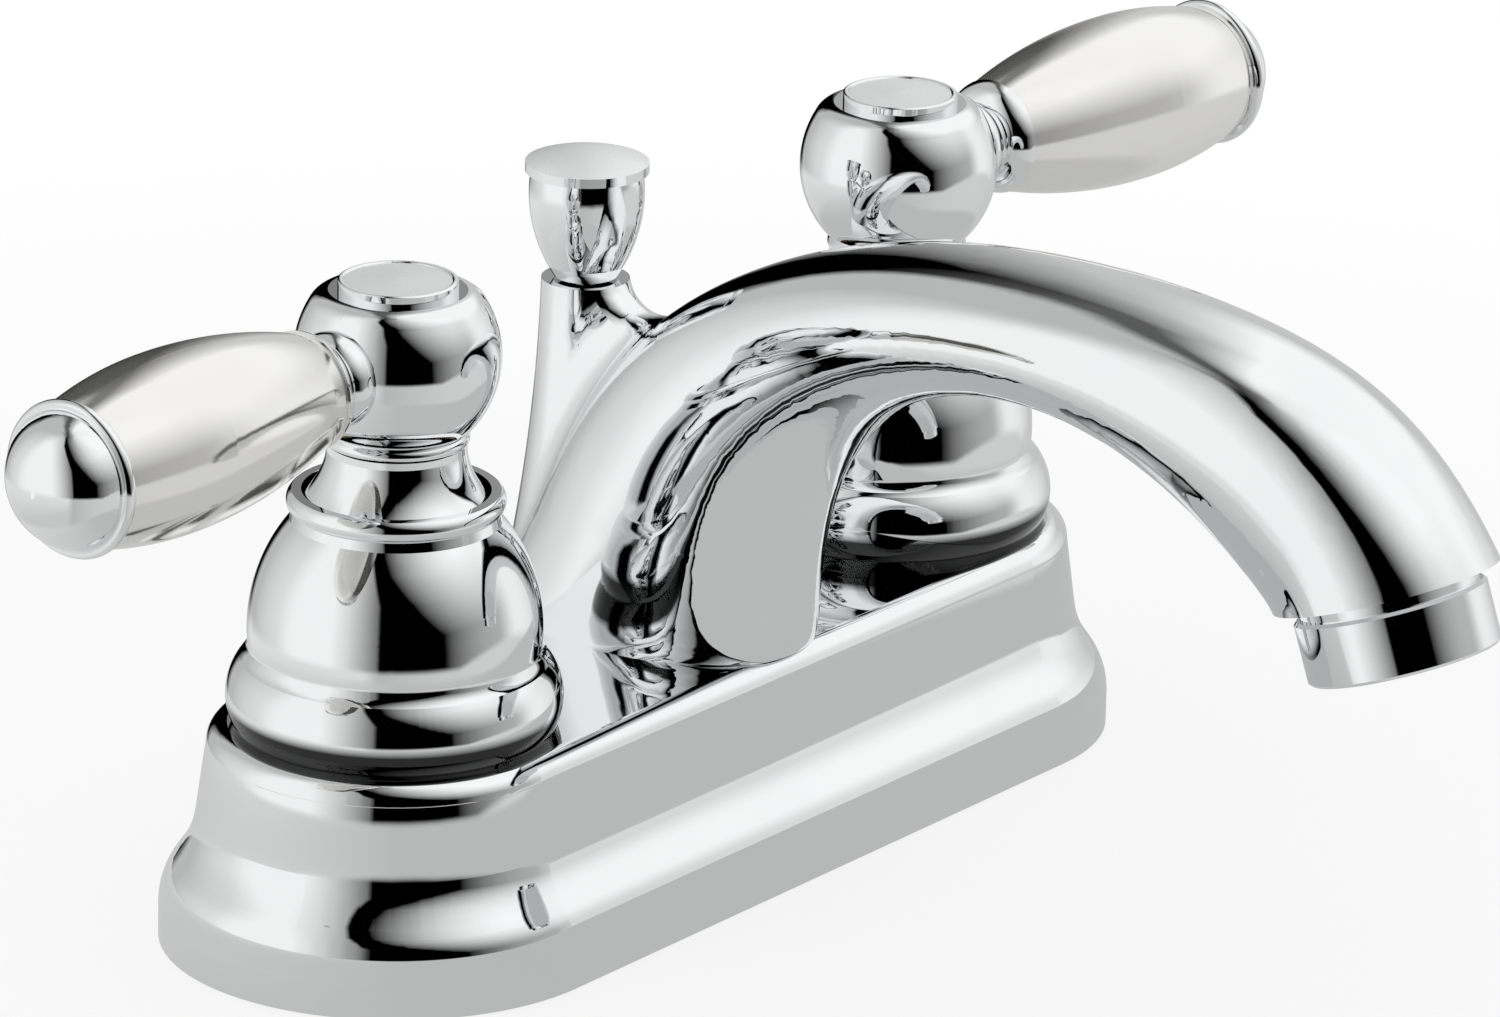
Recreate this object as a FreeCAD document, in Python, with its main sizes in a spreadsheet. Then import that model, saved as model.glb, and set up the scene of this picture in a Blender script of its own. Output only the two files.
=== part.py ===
import FreeCAD, Part
import math
import os

import Sketcher

# Two-handle bathroom faucet on a 4-inch centerset base.
# Frame: origin at the centre of the base on the sink deck, +X to the right handle,
# -Y to the user, in the spout's direction, +Z up. Lengths in mm, angles in degrees.

doc = FreeCAD.newDocument("centerset_faucet")
sheet = doc.addObject("Spreadsheet::Sheet", "Sizes")

SIZES = {
    # Base plate
    "handle_spacing": 101.6,
    "base_half_depth": 28.9,
    "base_wall_height": 4.2,
    "base_shoulder_inset": 1.85,
    "base_shoulder_rise": 5.4,
    "base_shoulder_radius": 9.0,
    "base_cove_inset": 2.7,
    "base_cove_rise": 6.4,
    "base_cove_radius": 12.5,
    "base_draft_inset": 1.25,
    "base_height": 27.8,
    "base_edge_radius": 2.6,
    "base_skin": 2.4,
    "gasket_thickness": 2.5,
    "gasket_clearance": 0.3,
    "gasket_shank_clearance": 0.7,
    # Brass waterway
    "shank_radius": 10.3,
    "shank_length": 50.0,
    "shank_bore_radius": 5.5,
    "shank_undercut_depth": 0.7,
    "shank_undercut_width": 1.2,
    "shank_coupling_length": 20.0,
    "valve_body_radius": 13.0,
    "valve_flange_radius": 15.5,
    "valve_flange_thickness": 2.5,
    "valve_barrel_radius": 11.5,
    "valve_barrel_rise": 16.2,
    "valve_bore_radius": 9.6,
    "valve_seat_height": 9.0,
    "cross_tube_radius": 6.5,
    "cross_tube_bore_radius": 4.2,
    "cross_tube_gap": 0.9,
    "spout_boss_radius": 10.6,
    "spout_boss_bottom": 7.0,
    "deck_hole_clearance": 0.5,
    # Ceramic-disc valve
    "valve_fit": 0.1,
    "running_fit": 0.05,
    "seat_seal_thickness": 3.0,
    "seat_seal_bore_radius": 6.3,
    "disc_radius": 7.3,
    "disc_thickness": 3.2,
    "disc_port_radius": 1.9,
    "disc_port_offset": 4.3,
    "disc_notch_radius": 3.6,
    "disc_notch_offset": 6.0,
    "cartridge_neck_radius": 6.8,
    "cartridge_neck_rise": 1.0,
    "cartridge_window_width": 7.0,
    "cartridge_window_height": 7.0,
    "stem_foot_thickness": 3.0,
    "stem_radius": 4.4,
    "stem_square": 6.0,
    "stem_square_bottom": 1.4,
    "stem_top": 15.4,
    "stem_ring_height": 33.0,
    "stem_ring_section": 0.9,
    "bonnet_spigot_length": 6.0,
    "bonnet_nut_flats": 20.0,
    "bonnet_nut_height": 6.0,
    # Bell over each valve
    "bell_foot_radius": 19.7,
    "bell_lip_radius": 7.4,
    "bell_lip_height": 8.6,
    "bell_waist_radius": 19.0,
    "bell_cove_radius": 2.2,
    "bell_body_radius": 18.1,
    "bell_body_bottom": 10.6,
    "bell_body_curve": 22.0,
    "bell_neck_radius": 13.0,
    "bell_neck_height": 26.4,
    "bell_bead_gap": 1.2,
    "bell_bead_height": 2.6,
    "bell_bead_radius": 1.6,
    "bell_bead_seat": 12.8,
    "bell_mouth_radius": 11.6,
    "bell_skin": 2.0,
    "bell_collar_bottom": 7.7,
    "bell_collar_height": 4.5,
    # Handle hub, a ball on a flared skirt that dips into the bell's mouth
    "hub_skirt_depth": 1.4,
    "hub_skirt_radius": 11.1,
    "hub_skirt_rim": 1.0,
    "hub_skirt_curve": 9.0,
    "hub_neck_radius": 8.6,
    "hub_neck_height": 6.6,
    "hub_bead_gap": 0.9,
    "hub_bead_height": 1.5,
    "hub_bead_radius": 1.0,
    "hub_ball_height": 16.2,
    "hub_ball_radius": 13.2,
    "hub_shoulder_radius": 10.9,
    "hub_shoulder_curve": 3.0,
    "hub_crown_height": 1.7,
    "hub_top_radius": 8.5,
    "hub_cavity_radius": 8.0,
    "hub_cavity_height": 3.9,
    "hub_socket_clearance": 0.05,
    "screw_head_radius": 3.8,
    "screw_head_height": 2.4,
    "screw_seat_height": 4.0,
    "screw_radius": 2.0,
    "screw_length": 17.0,
    "screw_tip_clearance": 1.0,
    "screw_clearance": 0.15,
    "screw_slot_width": 1.0,
    "button_plug_radius": 6.2,
    "button_plug_length": 1.8,
    "button_radius": 7.35,
    "button_rim_height": 1.5,
    "button_rim_width": 0.8,
    "button_rim_curve": 0.5,
    "button_dome_height": 0.3,
    "button_clearance": 0.1,
    # Lever: neck of the hub, barrel and end cap
    "lever_height": 9.5,
    "lever_rest_left": 0.0,
    "lever_rest_right": 6.0,
    "neck_root": 9.0,
    "neck_radius": 5.2,
    "neck_bead_start": 10.0,
    "neck_bead_width": 4.4,
    "neck_bead_curve": 3.4,
    "neck_groove_width": 0.6,
    "neck_collar_width": 3.0,
    "neck_collar_curve": 4.0,
    "neck_collar_radius": 7.5,
    "barrel_start_radius": 7.15,
    "barrel_belly_reach": 43.0,
    "barrel_belly_radius": 11.05,
    "barrel_end_reach": 59.4,
    "barrel_end_radius": 8.8,
    "lever_stud_radius": 2.4,
    "lever_stud_root": 8.5,
    "lever_stud_clearance": 0.1,
    "cap_rim_radius": 9.2,
    "cap_rim_width": 1.6,
    "cap_rim_curve": 0.9,
    "cap_dome_radius": 8.6,
    "cap_dome_length": 6.4,
    # Spout
    "arch_centre_reach": 60.8,
    "arch_centre_height": 14.9,
    "arch_radius": 63.6,
    "arch_overhang": 13.5,
    "arch_setback": 2.8,
    "spout_foot_half_depth": 22.0,
    "spout_foot_half_width": 15.0,
    "knee_angle": 27.0,
    "knee_lift": -2.6,
    "knee_half_height": 18.5,
    "knee_half_width": 14.8,
    "shoulder_angle": 45.0,
    "shoulder_lift": 0.0,
    "shoulder_half_height": 14.6,
    "shoulder_half_width": 14.6,
    "crown_angle": 68.0,
    "crown_lift": 0.25,
    "crown_half_height": 9.95,
    "crown_half_width": 14.3,
    "throat_angle": 88.0,
    "throat_lift": 0.0,
    "throat_half_height": 8.05,
    "throat_half_width": 14.1,
    "brow_angle": 110.0,
    "brow_lift": 1.15,
    "brow_half_height": 9.9,
    "brow_half_width": 13.8,
    "nose_angle": 128.0,
    "nose_lift": 2.6,
    "nose_half_height": 12.5,
    "nose_half_width": 13.6,
    "section_fullness": 2.3,
    "outlet_reach": 110.9,
    "outlet_height": 57.5,
    "outlet_tilt": 19.5,
    "outlet_radius": 14.0,
    "nipple_setback": -4.0,
    "nipple_radius": 7.1,
    "nipple_fit": 0.1,
    "nipple_port_radius": 3.6,
    "nipple_ring_section": 0.9,
    "nipple_ring_gap": 5.6,
    "nipple_end": 3.4,
    "passage_radius": 4.0,
    "spout_nut_height": 3.2,
    "spout_nut_flats": 19.0,
    "rod_boss_top": 70.2,
    "rod_boss_top_radius": 5.6,
    "rod_boss_waist_height": 52.0,
    "rod_boss_waist_radius": 6.7,
    "rod_boss_foot_radius": 10.4,
    "rod_boss_blend": 6.0,
    # Aerator
    "aerator_neck_radius": 11.0,
    "aerator_neck_length": 1.6,
    "aerator_ring_radius": 11.9,
    "aerator_ring_length": 7.9,
    "aerator_chamfer": 0.4,
    "aerator_thread_radius": 10.1,
    "aerator_thread_length": 5.5,
    "aerator_thread_fit": 0.1,
    "aerator_bore_radius": 8.9,
    "aerator_lip_radius": 7.9,
    "aerator_lip_length": 1.0,
    "aerator_insert_length": 8.5,
    "aerator_hole_radius": 1.0,
    "aerator_hole_pitch": 2.7,
    "aerator_washer_thickness": 1.4,
    # Lift rod of the drain
    "rod_setback": 11.0,
    "rod_radius": 2.38,
    "rod_fit": 0.1,
    "rod_bottom": -139.0,
    "rod_top": 81.0,
    "knob_gap": 0.3,
    "knob_foot_radius": 4.0,
    "knob_body_height": 13.7,
    "knob_body_radius": 7.1,
    "knob_body_curve": 20.0,
    "knob_rim_radius": 7.8,
    "knob_rim_height": 1.2,
    "knob_dome_height": 1.4,
    # Fixings under the sink
    "sink_thickness": 12.0,
    "washer_radius": 18.0,
    "washer_thickness": 2.0,
    "washer_clearance": 0.3,
    "nut_radius": 14.5,
    "nut_height": 9.0,
    "nut_fit": 0.1,
    "nut_wing_reach": 21.0,
    "nut_wing_width": 5.0,
}

for row, (alias, number) in enumerate(SIZES.items(), start=1):
    sheet.set(f"A{row}", alias)
    sheet.set(f"B{row}", str(number))
    sheet.setAlias(f"B{row}", alias)
doc.recompute()


class Size:
    """A length from the sheet, with the expression that names its cells."""

    def __init__(self, number, text):
        self.number = number
        self.text = text

    def __add__(self, other):
        other = as_size(other)
        return Size(self.number + other.number, f"({self.text} + {other.text})")

    def __radd__(self, other):
        return as_size(other) + self

    def __sub__(self, other):
        other = as_size(other)
        return Size(self.number - other.number, f"({self.text} - {other.text})")

    def __rsub__(self, other):
        return as_size(other) - self

    def __mul__(self, other):
        other = as_size(other)
        return Size(self.number * other.number, f"({self.text} * {other.text})")

    def __rmul__(self, other):
        return as_size(other) * self

    def __truediv__(self, other):
        other = as_size(other)
        return Size(self.number / other.number, f"({self.text} / {other.text})")

    def __neg__(self):
        return Size(-self.number, f"(0 - {self.text})")


def as_size(value):
    return value if isinstance(value, Size) else Size(float(value), repr(float(value)))


class SheetSizes:
    """Reads sheet cells by alias, as sizes that carry their expression."""

    def __getattr__(self, alias):
        return Size(float(sheet.get(alias)), f"Sizes.{alias}")


dim = SheetSizes()

# How far a cutting shape runs past the metal
OVERSHOOT = 1.0


def bind(item, path, value):
    """Ties one property of a document object to the sheet."""
    item.setExpression(path, as_size(value).text)


def put(item, at=(0, 0, 0)):
    """Ties an object's place to the sheet."""
    for letter, value in zip("xyz", at):
        if isinstance(value, Size) or value:
            bind(item, f"Placement.Base.{letter}", value)
    return item


nodes = []


def node(item, label):
    """Names an object as one piece of the faucet."""
    item.Label = label
    nodes.append(item)
    return item


def origin_plane(body, role):
    return next(f for f in body.Origin.OriginFeatures if f.Role == role)


def arc_edge(start, end, radius):
    """Arc from start to end: a positive radius bends it to the left of the way."""
    x0, y0 = start
    x1, y1 = end
    chord = math.hypot(x1 - x0, y1 - y0)
    size = abs(radius)
    rise = math.sqrt(max(size * size - chord * chord / 4, 0))
    side = 1 if radius > 0 else -1
    across = ((y1 - y0) / chord, -(x1 - x0) / chord)
    centre = (
        (x0 + x1) / 2 - side * across[0] * rise,
        (y0 + y1) / 2 - side * across[1] * rise,
    )
    middle = (centre[0] + side * across[0] * size, centre[1] + side * across[1] * size)
    points = [FreeCAD.Vector(x, y, 0) for x, y in (start, middle, end)]
    return Part.Arc(*points)


def outline(body, name, plane, corners, offset=(0, 0, 0)):
    """Closed sketch of lines and arcs. Each corner is (x, y) or (x, y, radius), where the
    radius bends the edge that leaves the corner; every corner and radius is tied to the sheet."""
    sketch = body.newObject("Sketcher::SketchObject", name)
    sketch.AttachmentSupport = [(origin_plane(body, plane), "")]
    sketch.MapMode = "FlatFace"
    for letter, value in zip("xyz", offset):
        if isinstance(value, Size) or value:
            bind(sketch, f"AttachmentOffset.Base.{letter}", value)
    corners = [tuple(as_size(v) for v in corner) for corner in corners]
    spots = [(corner[0].number, corner[1].number) for corner in corners]
    edges = []
    for index, corner in enumerate(corners):
        start = spots[index]
        end = spots[(index + 1) % len(spots)]
        if len(corner) == 3:
            edges.append(arc_edge(start, end, corner[2].number))
        else:
            edges.append(Part.LineSegment(FreeCAD.Vector(*start, 0), FreeCAD.Vector(*end, 0)))
    sketch.addGeometry(edges, False)
    # An arc that bends to the left runs against its own sense, so its ends are swapped
    ends = []
    for index, edge in enumerate(edges):
        start = FreeCAD.Vector(*spots[index], 0)
        forward = sketch.getPoint(index, 1).distanceToPoint(start) < 1e-6
        ends.append((1, 2) if forward else (2, 1))
    rules = []
    bound = []
    for index, corner in enumerate(corners):
        following = (index + 1) % len(corners)
        rules.append(
            Sketcher.Constraint("Coincident", index, ends[index][1], following, ends[following][0])
        )
        for axis, kind, reference in ((0, "DistanceX", -2), (1, "DistanceY", -1)):
            if abs(spots[index][axis]) < 1e-9:
                rules.append(
                    Sketcher.Constraint("PointOnObject", index, ends[index][0], reference)
                )
            else:
                rules.append(
                    Sketcher.Constraint(kind, -1, 1, index, ends[index][0], spots[index][axis])
                )
                bound.append((len(rules) - 1, corner[axis]))
        if len(corner) == 3:
            rules.append(Sketcher.Constraint("Radius", index, abs(corner[2].number)))
            radius = corner[2] if corner[2].number > 0 else -corner[2]
            bound.append((len(rules) - 1, radius))
    sketch.addConstraint(rules)
    for index, value in bound:
        if "Sizes." in value.text:
            sketch.setExpression(f"Constraints[{index}]", value.text)
    return sketch


def circle(body, name, plane, radius, centre=(0, 0), offset=(0, 0, 0)):
    """Sketch of one circle, with its radius and centre tied to the sheet."""
    sketch = body.newObject("Sketcher::SketchObject", name)
    sketch.AttachmentSupport = [(origin_plane(body, plane), "")]
    sketch.MapMode = "FlatFace"
    place = [as_size(o) for o in offset]
    place[0] = place[0] + centre[0]
    place[1] = place[1] + centre[1]
    for letter, value in zip("xyz", place):
        if abs(value.number) > 1e-9:
            bind(sketch, f"AttachmentOffset.Base.{letter}", value)
    radius = as_size(radius)
    sketch.addGeometry(Part.Circle(FreeCAD.Vector(0, 0, 0), FreeCAD.Vector(0, 0, 1), radius.number))
    sketch.addConstraint(
        [
            Sketcher.Constraint("Coincident", 0, 3, -1, 1),
            Sketcher.Constraint("Radius", 0, radius.number),
        ]
    )
    sketch.setExpression("Constraints[1]", radius.text)
    return sketch


def new_body(name, at=(0, 0, 0), turn=None):
    """Body in its own frame: `at` is its place and `turn` an (axis, angle) rotation."""
    body = doc.addObject("PartDesign::Body", name)
    if turn:
        axis, angle = turn
        body.Placement = FreeCAD.Placement(
            FreeCAD.Vector(0, 0, 0), FreeCAD.Rotation(FreeCAD.Vector(*axis), as_size(angle).number)
        )
        bind(body, "Placement.Rotation.Angle", angle)
    put(body, at)
    return node(body, name)


def revolve(body, sketch, axis="V_Axis", cut=False):
    """Turns a sketch a full turn round one of its own axes, to add or to cut."""
    kind = "PartDesign::Groove" if cut else "PartDesign::Revolution"
    feature = body.newObject(kind, sketch.Name + ("_groove" if cut else "_turned"))
    feature.Profile = sketch
    feature.ReferenceAxis = (sketch, [axis])
    feature.Angle = 360.0
    return feature


def extrude(body, sketch, length, cut=False, middle=False, backwards=False):
    """Pads or pockets a sketch. A pad goes along the plane's normal, a pocket against it."""
    kind = "PartDesign::Pocket" if cut else "PartDesign::Pad"
    feature = body.newObject(kind, sketch.Name + ("_pocket" if cut else "_pad"))
    feature.Profile = sketch
    bind(feature, "Length", length)
    feature.Midplane = middle
    feature.Reversed = backwards
    return feature


def turned(name, corners, at=(0, 0, 0), turn=None):
    """Piece turned about its own Z axis from an outline in X and Z."""
    body = new_body(name, at, turn)
    revolve(body, outline(body, name + "_profile", "XZ_Plane", corners))
    return body


def polar(body, feature, count):
    """Repeats a feature round the body's Z axis."""
    pattern = body.newObject("PartDesign::PolarPattern", feature.Name + "_ring")
    pattern.Originals = [feature]
    pattern.Axis = (origin_plane(body, "Z_Axis"), [""])
    pattern.Angle = 360
    pattern.Occurrences = count
    body.Tip = pattern
    return pattern


def cylinder(name, radius, height, at=(0, 0, 0)):
    item = doc.addObject("Part::Cylinder", name)
    bind(item, "Radius", radius)
    bind(item, "Height", height)
    return put(item, at)


def box(name, size, at=(0, 0, 0)):
    """Block with the given sides, centred on `at` in X and Y and standing on it in Z."""
    item = doc.addObject("Part::Box", name)
    for path, value in zip(("Length", "Width", "Height"), size):
        bind(item, path, value)
    return put(item, (at[0] - as_size(size[0]) / 2, at[1] - as_size(size[1]) / 2, at[2]))


def prism(name, flats, height, at=(0, 0, 0)):
    """Hexagonal block with the given width across its flats."""
    item = doc.addObject("Part::Prism", name)
    item.Polygon = 6
    bind(item, "Circumradius", flats / math.sqrt(3))
    bind(item, "Height", height)
    return put(item, at)


def fused(name, items):
    result = doc.addObject("Part::MultiFuse", name)
    result.Shapes = items
    return result


def cut(name, base, tools):
    result = doc.addObject("Part::Cut", name)
    result.Base = base
    result.Tool = tools[0] if len(tools) == 1 else fused(name + "_tools", tools)
    return result


SIDES = {"left": -1, "right": 1}
half_spacing = dim.handle_spacing / 2
deck = dim.base_height
bell_bead_bottom = deck + dim.bell_neck_height + dim.bell_bead_gap
bell_top = bell_bead_bottom + dim.bell_bead_height

# Axis of the cross tube, close under the base's top
tube_level = deck - dim.base_skin - dim.cross_tube_gap - dim.cross_tube_radius

# Foot of each handle's skirt: the handle's own heights start here
handle_base = bell_top - dim.hub_skirt_depth


# Base plate: a two-tier shell, round at its ends and open below

def base_profile(inset=0):
    """Half section of the base from its foot to the centre of its top, `inset` within the skin."""
    foot = dim.base_half_depth - inset
    shoulder = foot - dim.base_shoulder_inset
    upper = shoulder - dim.base_cove_inset
    crest = upper - dim.base_draft_inset
    top = dim.base_height - inset
    shoulder_height = dim.base_wall_height + dim.base_shoulder_rise
    cove_height = shoulder_height + dim.base_cove_rise
    edge = dim.base_edge_radius
    return [
        (foot, 0),
        (foot, dim.base_wall_height, dim.base_shoulder_radius),
        (shoulder, shoulder_height, -dim.base_cove_radius),
        (upper, cove_height),
        (crest, top - edge, edge),
        (crest - edge, top),
    ]


def both_sides(profile):
    """Full section from a half one: the far side runs back down with its arcs in reverse."""
    mirrored = []
    for index in range(len(profile) - 1, -1, -1):
        x, y = profile[index][:2]
        before = profile[index - 1] if index else ()
        mirrored.append((-as_size(x), y, before[2]) if len(before) == 3 else (-as_size(x), y))
    return list(profile) + mirrored


def base_plate():
    body = new_body("deck_plate")
    for part_name, inset, cutting in (("outer", 0, False), ("hollow", dim.base_skin, True)):
        profile = base_profile(inset)
        section = outline(body, f"base_{part_name}_section", "YZ_Plane", both_sides(profile))
        extrude(body, section, dim.handle_spacing, cut=cutting, middle=True)
        for side, sign in SIDES.items():
            half = profile + [(0, profile[-1][1]), (0, 0)]
            end = outline(body, f"base_{part_name}_{side}", "XZ_Plane", half)
            bind(end, "AttachmentOffset.Base.x", half_spacing * sign)
            revolve(body, end, cut=cutting)
    hole_radius = dim.valve_barrel_radius + dim.deck_hole_clearance
    for side, sign in SIDES.items():
        hole = circle(body, f"valve_hole_{side}", "XY_Plane", hole_radius, (half_spacing * sign, 0))
        extrude(body, hole, deck * 2, cut=True, middle=True)
    nipple_hole = circle(
        body,
        "nipple_hole",
        "XY_Plane",
        dim.nipple_radius + dim.deck_hole_clearance,
        (0, dim.nipple_setback),
    )
    extrude(body, nipple_hole, deck * 2, cut=True, middle=True)
    rod_hole = circle(
        body, "rod_hole", "XY_Plane", dim.rod_radius + dim.deck_hole_clearance, (0, dim.rod_setback)
    )
    extrude(body, rod_hole, deck * 2, cut=True, middle=True)
    return body


base_plate()


# Gasket: a flat rubber plate inside the foot of the base

def base_gasket():
    radius = dim.base_half_depth - dim.base_skin - dim.gasket_clearance
    slab = box("gasket_slab", (dim.handle_spacing, radius * 2, dim.gasket_thickness))
    discs = []
    holes = []
    hole_radius = dim.shank_radius + dim.gasket_shank_clearance
    for side, sign in SIDES.items():
        place = (half_spacing * sign, 0, 0)
        discs.append(cylinder(f"gasket_end_{side}", radius, dim.gasket_thickness, place))
        holes.append(cylinder(f"gasket_hole_{side}", hole_radius, dim.gasket_thickness, place))
    holes.append(
        cylinder(
            "gasket_rod_hole",
            dim.rod_radius + dim.deck_hole_clearance,
            dim.gasket_thickness,
            (0, dim.rod_setback, 0),
        )
    )
    plate = fused("gasket_plate", [slab] + discs)
    return node(cut("gasket", plate, holes), "base_gasket")


base_gasket()


# Waterway: one brass casting of two valve bodies, a cross tube and the spout's boss

def waterway():
    body = new_body("waterway")
    ceiling = deck - dim.base_skin
    barrel_top = deck + dim.valve_barrel_rise
    flange_bottom = ceiling - dim.valve_flange_thickness
    groove_top = -dim.shank_length + dim.shank_coupling_length + dim.shank_undercut_width
    groove_bottom = -dim.shank_length + dim.shank_coupling_length
    groove_radius = dim.shank_radius - dim.shank_undercut_depth
    for side, sign in SIDES.items():
        body_outline = outline(
            body,
            f"valve_body_{side}",
            "XZ_Plane",
            [
                (0, -dim.shank_length),
                (dim.shank_radius, -dim.shank_length),
                (dim.shank_radius, groove_bottom),
                (groove_radius, groove_bottom),
                (groove_radius, groove_top),
                (dim.shank_radius, groove_top),
                (dim.shank_radius, dim.gasket_thickness),
                (dim.valve_body_radius, dim.gasket_thickness),
                (dim.valve_body_radius, flange_bottom),
                (dim.valve_flange_radius, flange_bottom),
                (dim.valve_flange_radius, ceiling),
                (dim.valve_barrel_radius, ceiling),
                (dim.valve_barrel_radius, barrel_top),
                (0, barrel_top),
            ],
        )
        bind(body_outline, "AttachmentOffset.Base.x", half_spacing * sign)
        revolve(body, body_outline)
    tube = circle(
        body, "cross_tube", "YZ_Plane", dim.cross_tube_radius, (0, tube_level)
    )
    extrude(body, tube, dim.handle_spacing, middle=True)
    boss = circle(
        body,
        "spout_boss",
        "XY_Plane",
        dim.spout_boss_radius,
        (0, dim.nipple_setback),
        (0, 0, dim.spout_boss_bottom),
    )
    extrude(body, boss, ceiling - dim.spout_boss_bottom)
    for side, sign in SIDES.items():
        bore = outline(
            body,
            f"valve_bore_{side}",
            "XZ_Plane",
            [
                (0, -dim.shank_length),
                (dim.shank_bore_radius, -dim.shank_length),
                (dim.shank_bore_radius, dim.valve_seat_height),
                (dim.valve_bore_radius, dim.valve_seat_height),
                (dim.valve_bore_radius, barrel_top),
                (0, barrel_top),
            ],
        )
        bind(bore, "AttachmentOffset.Base.x", half_spacing * sign)
        revolve(body, bore, cut=True)
    tube_bore = circle(
        body, "cross_bore", "YZ_Plane", dim.cross_tube_bore_radius, (0, tube_level)
    )
    extrude(body, tube_bore, dim.handle_spacing, cut=True, middle=True)
    nipple_bore = circle(
        body,
        "nipple_bore",
        "XY_Plane",
        dim.nipple_radius + dim.nipple_fit,
        (0, dim.nipple_setback),
    )
    extrude(body, nipple_bore, deck * 2, cut=True, middle=True)
    return body


waterway()


# Ceramic-disc valves: a seal, two discs, the turning stem and the cartridge round them

UPRIGHT = (0, 0, 1)
lever_turn = {
    "left": (UPRIGHT, 180 + dim.lever_rest_left),
    "right": (UPRIGHT, -dim.lever_rest_right),
}
seal_top = dim.valve_seat_height + dim.seat_seal_thickness
fixed_disc_top = seal_top + dim.disc_thickness
moving_disc_top = fixed_disc_top + dim.disc_thickness
stem_foot_top = moving_disc_top + dim.stem_foot_thickness
barrel_top = deck + dim.valve_barrel_rise
cartridge_shoulder = barrel_top - dim.bonnet_spigot_length
cartridge_top = barrel_top + dim.bonnet_nut_height + dim.cartridge_neck_rise


def washer(name, outer, inner, height, at):
    """Flat ring standing on `at`."""
    ring = cylinder(name + "_blank", outer, height, at)
    return node(cut(name, ring, [cylinder(name + "_bore", inner, height, at)]), name)


def fixed_disc(name, x):
    """Ceramic disc with two round ports, on the X diameter."""
    blank = cylinder(name + "_blank", dim.disc_radius, dim.disc_thickness, (x, 0, seal_top))
    ports = []
    for number, step in enumerate((dim.disc_port_offset, -dim.disc_port_offset)):
        place = (x + step, 0, seal_top)
        ports.append(
            cylinder(f"{name}_port_{number}", dim.disc_port_radius, dim.disc_thickness, place)
        )
    return node(cut(name + "_disc", blank, ports), name)


def moving_disc(name, x):
    """Ceramic disc with two notches open at its rim, a quarter turn off the ports when shut."""
    place = (x, 0, fixed_disc_top)
    blank = cylinder(name + "_blank", dim.disc_radius, dim.disc_thickness, place)
    notches = []
    for number, step in enumerate((dim.disc_notch_offset, -dim.disc_notch_offset)):
        place = (x, step, fixed_disc_top)
        notches.append(
            cylinder(f"{name}_notch_{number}", dim.disc_notch_radius, dim.disc_thickness, place)
        )
    return node(cut(name + "_disc", blank, notches), name)


def cartridge(name, x):
    """Sleeve that holds the discs, with side windows for the water and a neck for the stem."""
    outer = dim.valve_bore_radius - dim.valve_fit
    inner = dim.disc_radius + dim.running_fit
    bore = dim.stem_radius + dim.running_fit
    ceiling = stem_foot_top + dim.running_fit * 2
    body = turned(
        name,
        [
            (inner, seal_top),
            (outer, seal_top),
            (outer, cartridge_shoulder),
            (dim.cartridge_neck_radius, cartridge_shoulder),
            (dim.cartridge_neck_radius, cartridge_top),
            (bore, cartridge_top),
            (bore, ceiling),
            (inner, ceiling),
        ],
        at=(x, 0, 0),
    )
    window = outline(
        body,
        name + "_window",
        "YZ_Plane",
        [
            (-dim.cartridge_window_width / 2, fixed_disc_top),
            (dim.cartridge_window_width / 2, fixed_disc_top),
            (dim.cartridge_window_width / 2, fixed_disc_top + dim.cartridge_window_height),
            (-dim.cartridge_window_width / 2, fixed_disc_top + dim.cartridge_window_height),
        ],
    )
    extrude(body, window, (outer + OVERSHOOT) * 2, cut=True, middle=True)
    return body


def stem(name, x, turn):
    """Spindle with a foot that drives the moving disc and a square top for the hub."""
    ring_radius = dim.stem_ring_section
    groove = dim.stem_radius + dim.running_fit - ring_radius * 2
    square_bottom = handle_base + dim.stem_square_bottom
    top = handle_base + dim.stem_top
    body = turned(
        name,
        [
            (0, moving_disc_top),
            (dim.disc_radius, moving_disc_top),
            (dim.disc_radius, stem_foot_top),
            (dim.stem_radius, stem_foot_top),
            (dim.stem_radius, dim.stem_ring_height - ring_radius),
            (groove, dim.stem_ring_height - ring_radius),
            (groove, dim.stem_ring_height + ring_radius),
            (dim.stem_radius, dim.stem_ring_height + ring_radius),
            (dim.stem_radius, square_bottom),
            (0, square_bottom),
        ],
        at=(x, 0, 0),
        turn=turn,
    )
    half = dim.stem_square / 2
    square = outline(
        body,
        name + "_square",
        "XY_Plane",
        [(-half, -half), (half, -half), (half, half), (-half, half)],
        (0, 0, square_bottom),
    )
    extrude(body, square, top - square_bottom)
    tapping = circle(
        body,
        name + "_tapping",
        "XY_Plane",
        dim.screw_radius + dim.running_fit,
        offset=(0, 0, top),
    )
    depth = dim.screw_length - dim.screw_seat_height + dim.screw_tip_clearance
    extrude(body, tapping, depth, cut=True)
    return body


def o_ring(name, x, height):
    """Rubber ring in the stem's groove."""
    ring = doc.addObject("Part::Torus", name)
    bind(ring, "Radius1", dim.stem_radius + dim.running_fit - dim.stem_ring_section)
    bind(ring, "Radius2", dim.stem_ring_section - dim.running_fit / 2)
    put(ring, (x, 0, height))
    return node(ring, name)


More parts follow.
